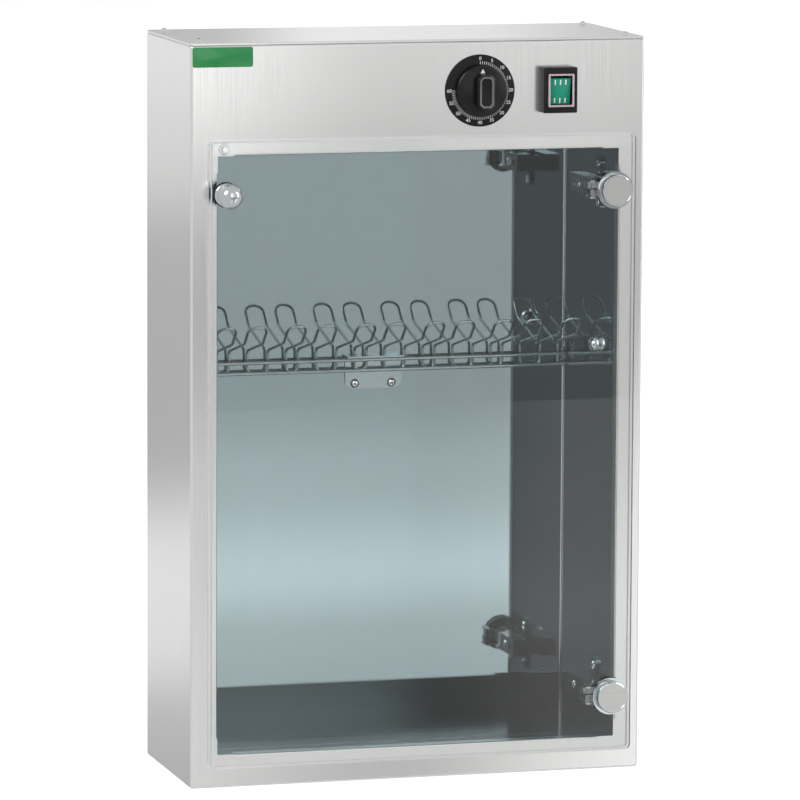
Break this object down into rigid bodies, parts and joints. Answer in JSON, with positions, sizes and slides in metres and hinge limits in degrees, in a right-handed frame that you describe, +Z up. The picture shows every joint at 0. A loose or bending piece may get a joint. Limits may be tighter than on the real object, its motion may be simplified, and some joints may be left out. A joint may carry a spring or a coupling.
{
  "type": "knife sterilizer cabinet",
  "caption": "Wall cabinet of folded steel that sterilizes hanging knives with an ultraviolet lamp, with a clear hinged door, wire knife rack, timer dial and rocker switch.",
  "frame": {"origin": "middle of the base's underside", "axes": "+X to the viewer's right along the front, +Y from the front to the back, +Z up"},
  "size_m": [0.408, 0.1878, 0.6224],
  "materials": {
    "brushed_case": "satin brushed stainless steel, folded sheet",
    "mirror_lining": "mirror-polished stainless steel sheet",
    "polished_steel": "polished stainless steel or nickel plate",
    "zinc_steel": "zinc-plated steel",
    "aluminium_sheet": "bright anodised aluminium sheet",
    "clear_acrylic": "clear cast acrylic sheet, polished edges",
    "lamp_glass": "clear ultraviolet-passing glass tube",
    "black_plastic": "black moulded thermoplastic, fine texture",
    "knob_plastic": "black moulded phenolic, semi-gloss",
    "rocker_green": "translucent green moulded plastic",
    "cover_clear": "clear soft splash cover",
    "white_plastic": "white moulded thermoplastic",
    "steel_paint": "dipped and baked varnish on laminated steel",
    "rubber_black": "black moulded elastomer",
    "wire_insulation": "extruded heat-proof insulation",
    "label_green": "plain printed film on thin aluminium",
    "brass_nickel": "turned brass"
  },
  "bodies": {
    "cabinet": {"front_panel": "brushed_case", "left_side": "brushed_case", "right_side": "brushed_case", "base_plate": "brushed_case", "top_cover": "brushed_case", "top_cover_screws": "polished_steel", "floor_pan": "mirror_lining", "back_panel": "mirror_lining", "left_lining": "mirror_lining", "right_lining": "mirror_lining", "lining_nuts": "polished_steel", "lamp_shelf": "zinc_steel", "reflector": "aluminium_sheet", "uv_tube": "lamp_glass", "lamp_caps": "polished_steel", "left_lamp_holder": "white_plastic", "right_lamp_holder": "white_plastic", "ballast": "steel_paint", "ballast_screws": "zinc_steel", "starter_socket": "white_plastic", "starter": "white_plastic", "terminal_block": "white_plastic", "internal_wires": "wire_insulation", "earth_stud": "brass_nickel", "cable_gland": "black_plastic", "gland_locknut": "black_plastic", "timer_body": "black_plastic", "timer_dial_plate": "black_plastic", "timer_nut": "zinc_steel", "switch_housing": "black_plastic", "switch_cover": "cover_clear", "label_plate": "label_green", "door_switch_body": "black_plastic", "door_switch_bush": "polished_steel", "rack_rails": "polished_steel", "rack_fingers": "polished_steel", "rack_bracket": "polished_steel", "bracket_screws": "polished_steel", "arm_pins": "zinc_steel", "hinge_screws": "polished_steel", "lower_hinge_arm": "polished_steel", "lower_hinge_plate": "polished_steel", "upper_hinge_arm": "polished_steel", "upper_hinge_plate": "polished_steel"},
    "door": {"door_panel": "clear_acrylic", "door_knob": "polished_steel", "knob_seal": "rubber_black", "knob_screw": "polished_steel", "cup_pins": "zinc_steel", "cup_seals": "rubber_black", "lower_hinge_cup": "polished_steel", "lower_hinge_cap": "polished_steel", "upper_hinge_cup": "polished_steel", "upper_hinge_cap": "polished_steel"},
    "outer_links": {"outer_hinge_links": "polished_steel"},
    "inner_links": {"inner_hinge_links": "polished_steel"},
    "timer_knob_body": {"timer_knob": "knob_plastic", "timer_shaft": "zinc_steel"},
    "rocker_body": {"switch_rocker": "rocker_green"},
    "plunger_body": {"door_switch_plunger": "polished_steel"}
  },
  "joints": [
    {"name": "outer_link_swing", "type": "hinge", "parent": "cabinet", "child": "outer_links", "pos_m": [0.1505, -0.0681, 0.278], "axis": [0, 0, 1], "range_deg": [-29.12, 0]},
    {"name": "door_swing", "type": "hinge", "parent": "outer_links", "child": "door", "pos_m": [0.1747, -0.0821, 0.278], "axis": [0, 0, 1], "range_deg": [0, 124.07]},
    {"name": "inner_link_swing", "type": "hinge", "parent": "cabinet", "child": "inner_links", "pos_m": [0.1505, -0.076, 0.278], "axis": [0, 0, 1], "range_deg": [-18.1, 0]},
    {"name": "timer_turn", "type": "hinge", "parent": "cabinet", "child": "timer_knob_body", "pos_m": [0.0515, -0.09, 0.577], "axis": [0, 1, 0], "range_deg": [0, 270]},
    {"name": "rocker_tilt", "type": "hinge", "parent": "cabinet", "child": "rocker_body", "pos_m": [0.118, -0.079, 0.577], "axis": [-1, 0, 0], "range_deg": [0, 14]},
    {"name": "plunger_slide", "type": "slide", "parent": "cabinet", "child": "plunger_body", "axis": [0, 1, 0], "range_m": [0, 0.002], "stiffness_N_per_m": 300}
  ],
  "couplings": [
    {"joint": "outer_link_swing", "follows": "door_swing", "ratio": -0.2343},
    {"joint": "inner_link_swing", "follows": "door_swing", "ratio": -0.14548}
  ]
}
